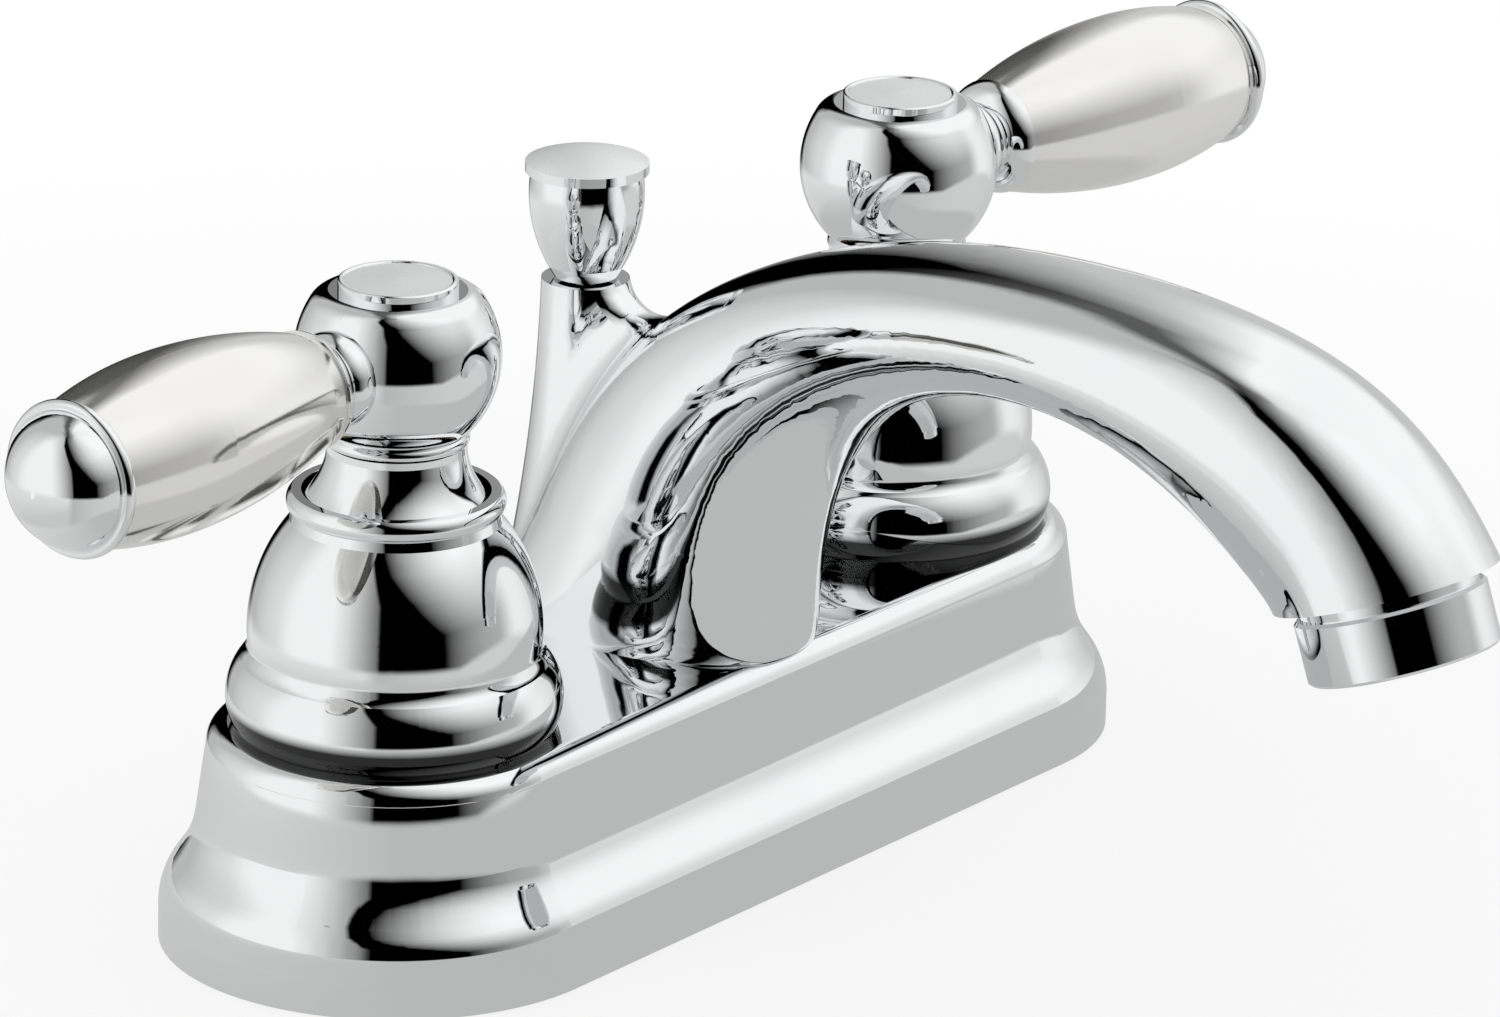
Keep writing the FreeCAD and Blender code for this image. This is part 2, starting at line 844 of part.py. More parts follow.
def bonnet_nut(name, x):
    """Hexagonal nut that screws into the valve body and holds the cartridge down."""
    spigot = cylinder(
        name + "_spigot",
        dim.valve_bore_radius - dim.valve_fit,
        dim.bonnet_spigot_length,
        (x, 0, cartridge_shoulder),
    )
    head = prism(name + "_head", dim.bonnet_nut_flats, dim.bonnet_nut_height, (x, 0, barrel_top))
    bore = cylinder(
        name + "_bore",
        dim.cartridge_neck_radius + dim.valve_fit,
        dim.bonnet_spigot_length + dim.bonnet_nut_height,
        (x, 0, cartridge_shoulder),
    )
    return node(cut(name, fused(name + "_blank", [spigot, head]), [bore]), name)


for side, sign in SIDES.items():
    x = half_spacing * sign
    washer(
        f"seat_seal_{side}",
        dim.disc_radius,
        dim.seat_seal_bore_radius,
        dim.seat_seal_thickness,
        (x, 0, dim.valve_seat_height),
    )
    fixed_disc(f"fixed_disc_{side}", x)
    moving_disc(f"moving_disc_{side}", x)
    stem(f"stem_{side}", x, lever_turn[side])
    o_ring(f"stem_o_ring_{side}", x, dim.stem_ring_height)
    cartridge(f"cartridge_{side}", x)
    bonnet_nut(f"bonnet_nut_{side}", x)


# Bells: turned shells that screw onto the valve bodies and hide them

def bell(name, x):
    skin = dim.bell_skin
    collar_bottom = deck + dim.bell_collar_bottom
    collar_top = collar_bottom + dim.bell_collar_height
    collar_bore = dim.valve_barrel_radius + dim.valve_fit
    waist = dim.bell_waist_radius - skin
    return turned(
        name,
        [
            (dim.bell_foot_radius, deck, dim.bell_lip_radius),
            (dim.bell_waist_radius, deck + dim.bell_lip_height, -dim.bell_cove_radius),
            (dim.bell_body_radius, deck + dim.bell_body_bottom, dim.bell_body_curve),
            (dim.bell_neck_radius, deck + dim.bell_neck_height),
            (dim.bell_bead_seat, bell_bead_bottom, dim.bell_bead_radius),
            (dim.bell_bead_seat, bell_top),
            (dim.bell_mouth_radius, bell_top),
            (dim.bell_mouth_radius, deck + dim.bell_neck_height),
            (waist, collar_top),
            (collar_bore, collar_top),
            (collar_bore, collar_bottom),
            (waist, collar_bottom),
            (dim.bell_foot_radius - skin, deck),
        ],
        at=(x, 0, 0),
    )


for side, sign in SIDES.items():
    bell(f"bell_{side}", half_spacing * sign)


# Handles: each turns about its valve's axis. In its own frame the lever points along +X and
# the skirt's foot is at zero.

ball_bottom = dim.hub_neck_height + dim.hub_bead_gap + dim.hub_bead_height
shoulder_height = ball_bottom + dim.hub_ball_height
hub_top = shoulder_height + dim.hub_crown_height
lever_axis = ball_bottom + dim.lever_height
neck_bead_end = dim.neck_bead_start + dim.neck_bead_width
collar_start = neck_bead_end + dim.neck_groove_width
neck_end = collar_start + dim.neck_collar_width
screw_seat = dim.stem_top + dim.screw_seat_height


def handle_hub(name, x, turn):
    """Ball, flared skirt and side neck in one casting, with the stem's socket below."""
    body = turned(
        name,
        [
            (0, 0),
            (dim.hub_skirt_radius, 0),
            (dim.hub_skirt_radius, dim.hub_skirt_rim, -dim.hub_skirt_curve),
            (dim.hub_neck_radius, dim.hub_neck_height),
            (dim.hub_neck_radius, dim.hub_neck_height + dim.hub_bead_gap, dim.hub_bead_radius),
            (dim.hub_neck_radius, ball_bottom, dim.hub_ball_radius),
            (dim.hub_shoulder_radius, shoulder_height, dim.hub_shoulder_curve),
            (dim.hub_top_radius, hub_top),
            (0, hub_top),
        ],
        at=(x, 0, handle_base),
        turn=turn,
    )
    neck = outline(
        body,
        name + "_neck",
        "XZ_Plane",
        [
            (dim.neck_root, 0),
            (neck_end, 0),
            (neck_end, dim.neck_collar_radius, dim.neck_collar_curve),
            (collar_start, dim.neck_radius),
            (neck_bead_end, dim.neck_radius, dim.neck_bead_curve),
            (dim.neck_bead_start, dim.neck_radius),
            (dim.neck_root, dim.neck_radius),
        ],
        (0, lever_axis, 0),
    )
    revolve(body, neck, "H_Axis")
    counterbore = dim.screw_head_radius + dim.screw_clearance
    recess = dim.button_plug_radius + dim.button_clearance
    recess_floor = hub_top - dim.button_plug_length
    shaft = outline(
        body,
        name + "_shaft",
        "XZ_Plane",
        [
            (0, dim.stem_top),
            (dim.screw_radius + dim.screw_clearance, dim.stem_top),
            (dim.screw_radius + dim.screw_clearance, screw_seat),
            (counterbore, screw_seat),
            (counterbore, recess_floor),
            (recess, recess_floor),
            (recess, hub_top),
            (0, hub_top),
        ],
    )
    revolve(body, shaft, cut=True)
    cavity = outline(
        body,
        name + "_cavity",
        "XZ_Plane",
        [
            (0, 0),
            (dim.hub_cavity_radius, 0),
            (dim.stem_radius + dim.screw_clearance, dim.hub_cavity_height),
            (0, dim.hub_cavity_height),
        ],
    )
    revolve(body, cavity, cut=True)
    half = dim.stem_square / 2 + dim.hub_socket_clearance
    socket = outline(
        body,
        name + "_socket",
        "XY_Plane",
        [(-half, -half), (half, -half), (half, half), (-half, half)],
        (0, 0, dim.stem_top),
    )
    extrude(body, socket, dim.stem_top, cut=True)
    stud_hole = outline(
        body,
        name + "_stud_hole",
        "XZ_Plane",
        [
            (dim.lever_stud_root, 0),
            (neck_end, 0),
            (neck_end, dim.lever_stud_radius + dim.running_fit),
            (dim.lever_stud_root, dim.lever_stud_radius + dim.running_fit),
        ],
        (0, lever_axis, 0),
    )
    revolve(body, stud_hole, "H_Axis", cut=True)
    return body


def lever_barrel(name, x, turn):
    """Grip sleeve between the hub's collar and the end cap."""
    body = new_body(name, (x, 0, handle_base), turn)
    bore = dim.lever_stud_radius + dim.lever_stud_clearance
    front = dim.barrel_belly_reach - neck_end
    front_rise = dim.barrel_belly_radius - dim.barrel_start_radius
    back = dim.barrel_end_reach - dim.barrel_belly_reach
    back_fall = dim.barrel_belly_radius - dim.barrel_end_radius
    # Both arcs are level at the belly, where they meet
    front_curve = (front * front + front_rise * front_rise) / (front_rise * 2)
    back_curve = (back * back + back_fall * back_fall) / (back_fall * 2)
    profile = outline(
        body,
        name + "_profile",
        "XZ_Plane",
        [
            (neck_end, bore),
            (dim.barrel_end_reach, bore),
            (dim.barrel_end_reach, dim.barrel_end_radius, back_curve),
            (dim.barrel_belly_reach, dim.barrel_belly_radius, front_curve),
            (neck_end, dim.barrel_start_radius),
        ],
        (0, lever_axis, 0),
    )
    revolve(body, profile, "H_Axis")
    return body


def lever_end_cap(name, x, turn):
    """Domed cap, one piece with the stud that screws into the hub's neck."""
    body = new_body(name, (x, 0, handle_base), turn)
    rim_end = dim.barrel_end_reach + dim.cap_rim_width
    dome = dim.cap_dome_length
    dome_curve = (dim.cap_dome_radius * dim.cap_dome_radius + dome * dome) / (dome * 2)
    profile = outline(
        body,
        name + "_profile",
        "XZ_Plane",
        [
            (dim.lever_stud_root, 0),
            (rim_end + dome, 0, dome_curve),
            (rim_end, dim.cap_dome_radius),
            (rim_end, dim.cap_rim_radius, dim.cap_rim_curve),
            (dim.barrel_end_reach, dim.cap_rim_radius),
            (dim.barrel_end_reach, dim.lever_stud_radius),
            (dim.lever_stud_root, dim.lever_stud_radius),
        ],
        (0, lever_axis, 0),
    )
    revolve(body, profile, "H_Axis")
    return body


def handle_screw(name, x, turn):
    """Slotted screw that holds the hub on the stem."""
    tip = screw_seat - dim.screw_length
    head_top = screw_seat + dim.screw_head_height
    body = turned(
        name,
        [
            (0, tip),
            (dim.screw_radius, tip),
            (dim.screw_radius, screw_seat),
            (dim.screw_head_radius, screw_seat),
            (dim.screw_head_radius, head_top),
            (0, head_top),
        ],
        at=(x, 0, handle_base),
        turn=turn,
    )
    half = dim.screw_slot_width / 2
    reach = dim.screw_head_radius + OVERSHOOT
    slot = outline(
        body,
        name + "_slot",
        "XY_Plane",
        [(-reach, -half), (reach, -half), (reach, half), (-reach, half)],
        (0, 0, head_top),
    )
    extrude(body, slot, dim.screw_head_height / 2, cut=True)
    return body


def index_button(name, x, turn):
    """Button that snaps into the hub's top: a raised rim round a low dome."""
    top = hub_top + dim.button_rim_height
    plug_bottom = hub_top - dim.button_plug_length
    rim_inside = dim.button_radius - dim.button_rim_width
    return turned(
        name,
        [
            (0, plug_bottom),
            (dim.button_plug_radius, plug_bottom),
            (dim.button_plug_radius, hub_top),
            (dim.button_radius, hub_top),
            (dim.button_radius, top - dim.button_dome_height, dim.button_rim_curve),
            (rim_inside, top - dim.button_dome_height),
            (0, top),
        ],
        at=(x, 0, handle_base),
        turn=turn,
    )


for side, sign in SIDES.items():
    x = half_spacing * sign
    turn = lever_turn[side]
    handle_hub(f"handle_hub_{side}", x, turn)
    lever_barrel(f"lever_barrel_{side}", x, turn)
    lever_end_cap(f"lever_end_cap_{side}", x, turn)
    handle_screw(f"handle_screw_{side}", x, turn)
    index_button(f"index_button_{side}", x, turn)


# Spout: one casting that rises from an oval foot, bends over in a round arch and ends in a
# socket for the aerator. Its back carries the boss for the lift rod, and a nipple goes down
# through the base. Its sections are superellipses, which a sketch doesn't hold.

OVAL_POINTS = 24


def value(alias):
    return float(sheet.get(alias))


def arch_point(angle, lift):
    """Point above the arch, at an angle from the back horizontal. The arch runs from a little
    behind the origin to a little past the outlet."""
    turn = math.radians(angle)
    centre_reach = value("arch_centre_reach")
    reach = centre_reach + value("arch_setback")
    if angle > 90:
        reach = value("outlet_reach") + value("arch_overhang") - centre_reach
    return FreeCAD.Vector(
        0,
        -centre_reach + (reach + lift) * math.cos(turn),
        value("arch_centre_height") + (value("arch_radius") + lift) * math.sin(turn),
    )


def oval(centre, tilt, half_width, half_height, fullness):
    """Closed superellipse across the spout, its plane tilted forward from level."""
    turn = math.radians(tilt)
    across = FreeCAD.Vector(1, 0, 0)
    upward = FreeCAD.Vector(0, math.cos(turn), math.sin(turn))
    points = []
    for step in range(OVAL_POINTS):
        angle = 2 * math.pi * step / OVAL_POINTS
        x, y = math.cos(angle), math.sin(angle)
        x = math.copysign(abs(x) ** (2 / fullness), x)
        y = math.copysign(abs(y) ** (2 / fullness), y)
        points.append(centre + across * (half_width * x) + upward * (half_height * y))
    curve = Part.BSplineCurve()
    curve.interpolate(Points=points, PeriodicFlag=True)
    return Part.Wire([curve.toShape()])


outlet_centre = FreeCAD.Vector(0, -value("outlet_reach"), value("outlet_height"))
outlet_tilt = math.radians(value("outlet_tilt"))
outlet_up = FreeCAD.Vector(0, math.sin(outlet_tilt), math.cos(outlet_tilt))


def ring_heights():
    """Heights of the nipple's two rubber rings, below and above the cross port."""
    return (tube_level - dim.nipple_ring_gap, tube_level + dim.nipple_ring_gap)


def spout_casting():
    fullness = value("section_fullness")
    deck_level = value("base_height")
    foot = FreeCAD.Vector(0, 0, deck_level)
    sections = [
        oval(foot, 0, value("spout_foot_half_width"), value("spout_foot_half_depth"), fullness)
    ]
    for place in ("knee", "shoulder", "crown", "throat", "brow", "nose"):
        angle = value(place + "_angle")
        centre = arch_point(angle, value(place + "_lift"))
        width = value(place + "_half_width")
        height = value(place + "_half_height")
        sections.append(oval(centre, angle, width, height, fullness))
    radius = value("outlet_radius")
    sections.append(oval(outlet_centre, 180 - value("outlet_tilt"), radius, radius, 2))
    shape = Part.makeLoft(sections, True, False)

    # Socket for the aerator
    depth = value("aerator_thread_length") + value("aerator_washer_thickness")
    socket = Part.makeCylinder(
        value("aerator_thread_radius") + value("aerator_thread_fit"),
        depth + OVERSHOOT,
        outlet_centre - outlet_up * OVERSHOOT,
        outlet_up,
    )
    shape = shape.cut(socket)

    # Boss of the lift rod: a slender cone that flares into the foot
    setback = value("rod_setback")
    boss_corners = [
        FreeCAD.Vector(0, 0, deck_level),
        FreeCAD.Vector(value("rod_boss_foot_radius"), 0, deck_level),
        FreeCAD.Vector(value("rod_boss_waist_radius"), 0, value("rod_boss_waist_height")),
        FreeCAD.Vector(value("rod_boss_top_radius"), 0, value("rod_boss_top")),
        FreeCAD.Vector(0, 0, value("rod_boss_top")),
    ]
    flare = Part.BSplineCurve()
    flare.interpolate(boss_corners[1:4])
    edges = [
        Part.LineSegment(boss_corners[0], boss_corners[1]).toShape(),
        flare.toShape(),
        Part.LineSegment(boss_corners[3], boss_corners[4]).toShape(),
        Part.LineSegment(boss_corners[4], boss_corners[0]).toShape(),
    ]
    boss = Part.Face(Part.Wire(edges)).revolve(FreeCAD.Vector(), FreeCAD.Vector(0, 0, 1), 360)
    boss.translate(FreeCAD.Vector(0, setback, 0))
    shape = shape.fuse(boss)
    seams = [
        edge
        for edge in shape.Edges
        if {type(face.Surface) for face in shape.ancestorsOfType(edge, Part.Face)}
        == {Part.SurfaceOfRevolution, Part.BSplineSurface}
    ]
    shape = shape.makeFillet(value("rod_boss_blend"), seams)

    # Nipple with two ring grooves and a cross port, down through the base and the waterway
    axis = FreeCAD.Vector(0, value("nipple_setback"), 0)
    nipple_radius = value("nipple_radius")
    nipple_end = value("nipple_end")
    nipple = Part.makeCylinder(
        nipple_radius,
        deck_level - nipple_end + OVERSHOOT,
        axis + FreeCAD.Vector(0, 0, nipple_end),
    )
    shape = shape.fuse(nipple)
    port_height = tube_level.number
    ring = value("nipple_ring_section")
    floor = nipple_radius + value("nipple_fit") - 2 * ring
    for height in ring_heights():
        centre = axis + FreeCAD.Vector(0, 0, height.number - ring)
        groove = Part.makeCylinder(nipple_radius + OVERSHOOT, 2 * ring, centre)
        shape = shape.cut(groove.cut(Part.makeCylinder(floor, 2 * ring, centre)))
    port = Part.makeCylinder(
        value("nipple_port_radius"),
        2 * (nipple_radius + OVERSHOOT),
        FreeCAD.Vector(-nipple_radius - OVERSHOOT, axis.y, port_height),
        FreeCAD.Vector(1, 0, 0),
    )
    shape = shape.cut(port)

    # Bore of the lift rod
    bore = Part.makeCylinder(
        value("rod_radius") + value("rod_fit"),
        value("rod_boss_top") - deck_level + 2 * OVERSHOOT,
        FreeCAD.Vector(0, setback, deck_level - OVERSHOOT),
    )
    shape = shape.cut(bore)

    # Water passage: straight up the nipple, then over in two arcs that meet level at the top
    rise = value("arch_centre_height") + value("arch_radius")
    climb = value("arch_centre_reach") + value("nipple_setback")
    start = FreeCAD.Vector(0, axis.y, rise - climb)
    crown = FreeCAD.Vector(0, -value("arch_centre_reach"), rise)
    climb_centre = FreeCAD.Vector(0, crown.y, rise - climb)
    diagonal = FreeCAD.Vector(0, 1, 1).normalize() * climb
    bottom = FreeCAD.Vector(0, axis.y, port_height - value("nipple_port_radius"))
    way_out = outlet_centre - crown
    fall_radius = way_out.Length**2 / (-2 * way_out.z)
    fall_half_angle = math.asin(way_out.Length / (2 * fall_radius))
    fall_middle = crown - FreeCAD.Vector(
        0, fall_radius * math.sin(fall_half_angle), fall_radius * (1 - math.cos(fall_half_angle))
    )
    path = Part.Wire(
        [
            Part.LineSegment(bottom, start).toShape(),
            Part.Arc(start, climb_centre + diagonal, crown).toShape(),
            Part.Arc(crown, fall_middle, outlet_centre).toShape(),
        ]
    )
    mouth = Part.Wire([Part.makeCircle(value("passage_radius"), bottom, FreeCAD.Vector(0, 0, 1))])
    return shape.cut(path.makePipeShell([mouth], True, False))


spout = doc.addObject("Part::Feature", "spout_casting")
spout.Shape = spout_casting()
node(spout, "spout")


def spout_o_rings():
    """Two rubber rings round the nipple."""
    rings = []
    section = dim.nipple_ring_section
    for number, height in enumerate(ring_heights()):
        ring = doc.addObject("Part::Torus", f"nipple_ring_{number}")
        bind(ring, "Radius1", dim.nipple_radius + dim.nipple_fit - section)
        bind(ring, "Radius2", section - dim.running_fit / 2)
        put(ring, (0, dim.nipple_setback, height))
        rings.append(ring)
    group = doc.addObject("Part::Compound", "nipple_rings")
    group.Links = rings
    return node(group, "spout_o_rings")


def spout_nut():
    """Nut on the nipple's end, against the underside of the waterway's boss."""
    place = (0, dim.nipple_setback, dim.spout_boss_bottom - dim.spout_nut_height)
    head = prism("spout_nut_blank", dim.spout_nut_flats, dim.spout_nut_height, place)
    bore = cylinder(
        "spout_nut_bore", dim.nipple_radius + dim.nipple_fit, dim.spout_nut_height, place
    )
    return node(cut("spout_lock_nut", head, [bore]), "spout_nut")


spout_o_rings()
spout_nut()


# Aerator: in its own frame +Z runs up into the spout and 0 is the spout's end

outlet_at = (0, -dim.outlet_reach, dim.outlet_height)
outlet_turn = ((1, 0, 0), -dim.outlet_tilt)
ring_top = -dim.aerator_neck_length
ring_bottom = ring_top - dim.aerator_ring_length


def aerator_housing():
    chamfer = dim.aerator_chamfer
    return turned(
        "aerator_housing",
        [
            (dim.aerator_lip_radius, ring_bottom),
            (dim.aerator_ring_radius - chamfer, ring_bottom),
            (dim.aerator_ring_radius, ring_bottom + chamfer),
            (dim.aerator_ring_radius, ring_top - chamfer),
            (dim.aerator_ring_radius - chamfer, ring_top),
            (dim.aerator_neck_radius, ring_top),
            (dim.aerator_neck_radius, 0),
            (dim.aerator_thread_radius, 0),
            (dim.aerator_thread_radius, dim.aerator_thread_length),
            (dim.aerator_bore_radius, dim.aerator_thread_length),
            (dim.aerator_bore_radius, ring_bottom + dim.aerator_lip_length),
            (dim.aerator_lip_radius, ring_bottom + dim.aerator_lip_length),
        ],
        at=outlet_at,
        turn=outlet_turn,
    )


def aerator_insert():
    """Plastic flow straightener with a ring of holes round a central one."""
    bottom = ring_bottom + dim.aerator_lip_length
    radius = dim.aerator_bore_radius - dim.aerator_thread_fit
    body = turned(
        "aerator_insert",
        [
            (0, bottom),
            (radius, bottom),
            (radius, bottom + dim.aerator_insert_length),
            (0, bottom + dim.aerator_insert_length),
        ],
        at=outlet_at,
        turn=outlet_turn,
    )
    centre = circle(
        body, "insert_centre_hole", "XY_Plane", dim.aerator_hole_radius, (0, 0), (0, 0, bottom)
    )
    extrude(body, centre, dim.aerator_insert_length, cut=True, backwards=True)
    for ring, count in ((1, 6), (2, 12)):
        hole = circle(
            body,
            f"insert_hole_{ring}",
            "XY_Plane",
            dim.aerator_hole_radius,
            (dim.aerator_hole_pitch * ring, 0),
            (0, 0, bottom),
        )
        pocket = extrude(body, hole, dim.aerator_insert_length, cut=True, backwards=True)
        polar(body, pocket, count)
    return body


def aerator_washer():
    top = dim.aerator_thread_length + dim.aerator_washer_thickness
    return turned(
        "aerator_washer",
        [
            (dim.aerator_lip_radius, dim.aerator_thread_length),
            (dim.aerator_thread_radius, dim.aerator_thread_length),
            (dim.aerator_thread_radius, top),
            (dim.aerator_lip_radius, top),
        ],
        at=outlet_at,
        turn=outlet_turn,
    )


aerator_housing()
aerator_insert()
aerator_washer()


# Lift rod of the drain, with its knob, down on the boss

knob_foot = dim.rod_boss_top + dim.knob_gap


def lift_knob():
    body_top = knob_foot + dim.knob_body_height
    rim_top = body_top + dim.knob_rim_height
    rim = dim.knob_rim_radius
    dome = dim.knob_dome_height
    bore = dim.rod_radius + dim.running_fit
    return turned(
        "lift_knob",
        [
            (bore, knob_foot),
            (dim.knob_foot_radius, knob_foot, dim.knob_body_curve),
            (dim.knob_body_radius, body_top),
            (rim, body_top),
            (rim, rim_top, (rim * rim + dome * dome) / (dome * 2)),
            (0, rim_top + dome),
            (0, dim.rod_top),
            (bore, dim.rod_top),
        ],
        at=(0, dim.rod_setback, 0),
    )


lift_knob()
node(
    cylinder(
        "rod_bar",
        dim.rod_radius,
        dim.rod_top - dim.rod_bottom,
        (0, dim.rod_setback, dim.rod_bottom),
    ),
    "lift_rod",
)


# Fixings: a washer and a winged nut on each shank, under the sink

def mounting_nut(name, x):
    body = new_body(name, (x, 0, 0))
    top = -dim.sink_thickness - dim.washer_thickness
    bottom = top - dim.nut_height
    ring = circle(body, name + "_ring", "XY_Plane", dim.nut_radius, offset=(0, 0, bottom))
    extrude(body, ring, dim.nut_height)
    half = dim.nut_wing_width / 2
    wing = outline(
        body,
        name + "_wing",
        "XY_Plane",
        [
            (dim.shank_radius, -half),
            (dim.nut_wing_reach, -half),
            (dim.nut_wing_reach, half),
            (dim.shank_radius, half),
        ],
        (0, 0, bottom),
    )
    polar(body, extrude(body, wing, dim.nut_height), 4)
    bore = circle(
        body, name + "_bore", "XY_Plane", dim.shank_radius + dim.nut_fit, offset=(0, 0, bottom)
    )
    extrude(body, bore, dim.nut_height, cut=True, backwards=True)
    return body


for side, sign in SIDES.items():
    x = half_spacing * sign
    washer(
        f"shank_washer_{side}",
        dim.washer_radius,
        dim.shank_radius + dim.washer_clearance,
        dim.washer_thickness,
        (x, 0, -dim.sink_thickness - dim.washer_thickness),
    )
    mounting_nut(f"mounting_nut_{side}", x)


# Recompute, check every object and piece, and write the files

doc.recompute()
faults = [o.Name for o in doc.Objects if set(o.State) & {"Invalid", "Error"}]
if faults:
    raise RuntimeError(f"objects failed: {faults}")
for item in nodes:
    if item.Shape.isNull() or not item.Shape.isValid() or not item.Shape.Solids:
        raise RuntimeError(f"piece has no sound solid: {item.Label}")
os.makedirs("parts", exist_ok=True)
for item in nodes:
    item.Shape.exportStep(os.path.join("parts", item.Label + ".step"))
print(len(nodes), "pieces written")
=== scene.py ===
import math

import bpy
from mathutils import Matrix, Vector


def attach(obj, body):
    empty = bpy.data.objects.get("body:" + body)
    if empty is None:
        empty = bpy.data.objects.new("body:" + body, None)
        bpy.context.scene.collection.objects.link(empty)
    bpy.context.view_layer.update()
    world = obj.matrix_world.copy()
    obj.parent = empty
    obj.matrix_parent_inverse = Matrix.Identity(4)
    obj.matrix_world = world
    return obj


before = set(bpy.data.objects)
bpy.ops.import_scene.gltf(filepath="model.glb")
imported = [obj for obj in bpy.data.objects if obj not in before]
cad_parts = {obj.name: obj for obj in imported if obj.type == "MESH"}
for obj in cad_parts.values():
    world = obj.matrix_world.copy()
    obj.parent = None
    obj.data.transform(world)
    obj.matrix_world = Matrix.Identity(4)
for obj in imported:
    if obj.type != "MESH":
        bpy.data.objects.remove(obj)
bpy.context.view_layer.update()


# Waterway
# One brass casting that carries both valves and the spout's socket under the base, with a
# threaded shank at each end. Its faces are left as cast, a little sandy.

MM = 0.001


class Signal:
    """A value in a node tree that can be added, scaled and compared like a number."""

    def __init__(self, tree, socket):
        self.tree = tree
        self.socket = socket

    def math(self, operation, other=None):
        node = self.tree.nodes.new("ShaderNodeMath")
        node.operation = operation
        self.tree.links.new(self.socket, node.inputs[0])
        if isinstance(other, Signal):
            self.tree.links.new(other.socket, node.inputs[1])
        elif other is not None:
            node.inputs[1].default_value = other
        return Signal(self.tree, node.outputs[0])

    def __add__(self, other):
        return self.math("ADD", other)

    def __sub__(self, other):
        return self.math("SUBTRACT", other)

    def __mul__(self, other):
        return self.math("MULTIPLY", other)

    def __truediv__(self, other):
        return self.math("DIVIDE", other)

    def ramp(self, start, end, low=0.0, high=1.0, smooth=False):
        """Clamped change from low to high as the value goes from start to end."""
        node = self.tree.nodes.new("ShaderNodeMapRange")
        node.interpolation_type = "SMOOTHSTEP" if smooth else "LINEAR"
        self.tree.links.new(self.socket, node.inputs["Value"])
        for name, number in (("From Min", start), ("From Max", end), ("To Min", low), ("To Max", high)):
            if isinstance(number, Signal):
                self.tree.links.new(number.socket, node.inputs[name])
            else:
                node.inputs[name].default_value = number
        return Signal(self.tree, node.outputs["Result"])


def effect_group(name, inputs, outputs):
    """Shader node group with named sockets, and its input and output nodes."""
    group = bpy.data.node_groups.new(name, "ShaderNodeTree")
    for side, sockets in (("INPUT", inputs), ("OUTPUT", outputs)):
        for label, kind in sockets:
            group.interface.new_socket(label, in_out=side, socket_type="NodeSocket" + kind)
    return group, group.nodes.new("NodeGroupInput"), group.nodes.new("NodeGroupOutput")


def noise(tree, vector, scale, detail):
    """Noise over the surface, with its scale taken from another socket."""
    node = tree.nodes.new("ShaderNodeTexNoise")
    tree.links.new(vector, node.inputs["Vector"])
    tree.links.new(scale, node.inputs["Scale"])
    node.inputs["Detail"].default_value = detail
    return Signal(tree, node.outputs["Fac"])


CLOUD_DETAIL = 3.0
CLOUD_SPREAD = (0.3, 0.7)
GRAIN_DETAIL = 2.0
GRAIN_SPREAD = (0.35, 0.65)
GRAIN_SHARE = 0.3


def surface_group():
    """Cloudy change of tone and gloss with a fine grain, for every finish on the part."""
    group, entry, exit_ = effect_group(
        "surface_variation",
        [
            ("Vector", "Vector"),
            ("Cloud Scale", "Float"),
            ("Grain Scale", "Float"),
            ("Low Roughness", "Float"),
            ("High Roughness", "Float"),
        ],
        [("Tone", "Float"), ("Roughness", "Float"), ("Height", "Float")],
    )
    place = entry.outputs["Vector"]
    cloud = noise(group, place, entry.outputs["Cloud Scale"], CLOUD_DETAIL)
    grain = noise(group, place, entry.outputs["Grain Scale"], GRAIN_DETAIL)
    tone = cloud.ramp(*CLOUD_SPREAD, smooth=True)
    mixed = tone * (1 - GRAIN_SHARE) + grain.ramp(*GRAIN_SPREAD) * GRAIN_SHARE
    low = Signal(group, entry.outputs["Low Roughness"])
    high = Signal(group, entry.outputs["High Roughness"])
    gloss = mixed.ramp(0.0, 1.0, low, high)
    for label, signal in (("Tone", tone), ("Roughness", gloss), ("Height", grain)):
        group.links.new(signal.socket, exit_.inputs[label])
    return group


SURFACE = surface_group()


def finish(name, light, dark, metallic, gloss, cloud_mm, grain_mm, grain_height_mm=0.0):
    """Material whose colour moves between two near tones and whose gloss is never quite even."""
    material = bpy.data.materials.new(name)
    material.use_nodes = True
    tree = material.node_tree
    shader = tree.nodes["Principled BSDF"]
    place = tree.nodes.new("ShaderNodeTexCoord").outputs["Object"]
    surface = tree.nodes.new("ShaderNodeGroup")
    surface.node_tree = SURFACE
    tree.links.new(place, surface.inputs["Vector"])
    surface.inputs["Cloud Scale"].default_value = 1 / (cloud_mm * MM)
    surface.inputs["Grain Scale"].default_value = 1 / (grain_mm * MM)
    surface.inputs["Low Roughness"].default_value = gloss[0]
    surface.inputs["High Roughness"].default_value = gloss[1]
    tint = tree.nodes.new("ShaderNodeMix")
    tint.data_type = "RGBA"
    tint.inputs["A"].default_value = (*dark, 1)
    tint.inputs["B"].default_value = (*light, 1)
    tree.links.new(surface.outputs["Tone"], tint.inputs["Factor"])
    tree.links.new(tint.outputs["Result"], shader.inputs["Base Color"])
    tree.links.new(surface.outputs["Roughness"], shader.inputs["Roughness"])
    shader.inputs["Metallic"].default_value = metallic
    if grain_height_mm:
        bump = tree.nodes.new("ShaderNodeBump")
        bump.inputs["Distance"].default_value = grain_height_mm * MM
        tree.links.new(surface.outputs["Height"], bump.inputs["Height"])
        tree.links.new(bump.outputs["Normal"], shader.inputs["Normal"])
    return material


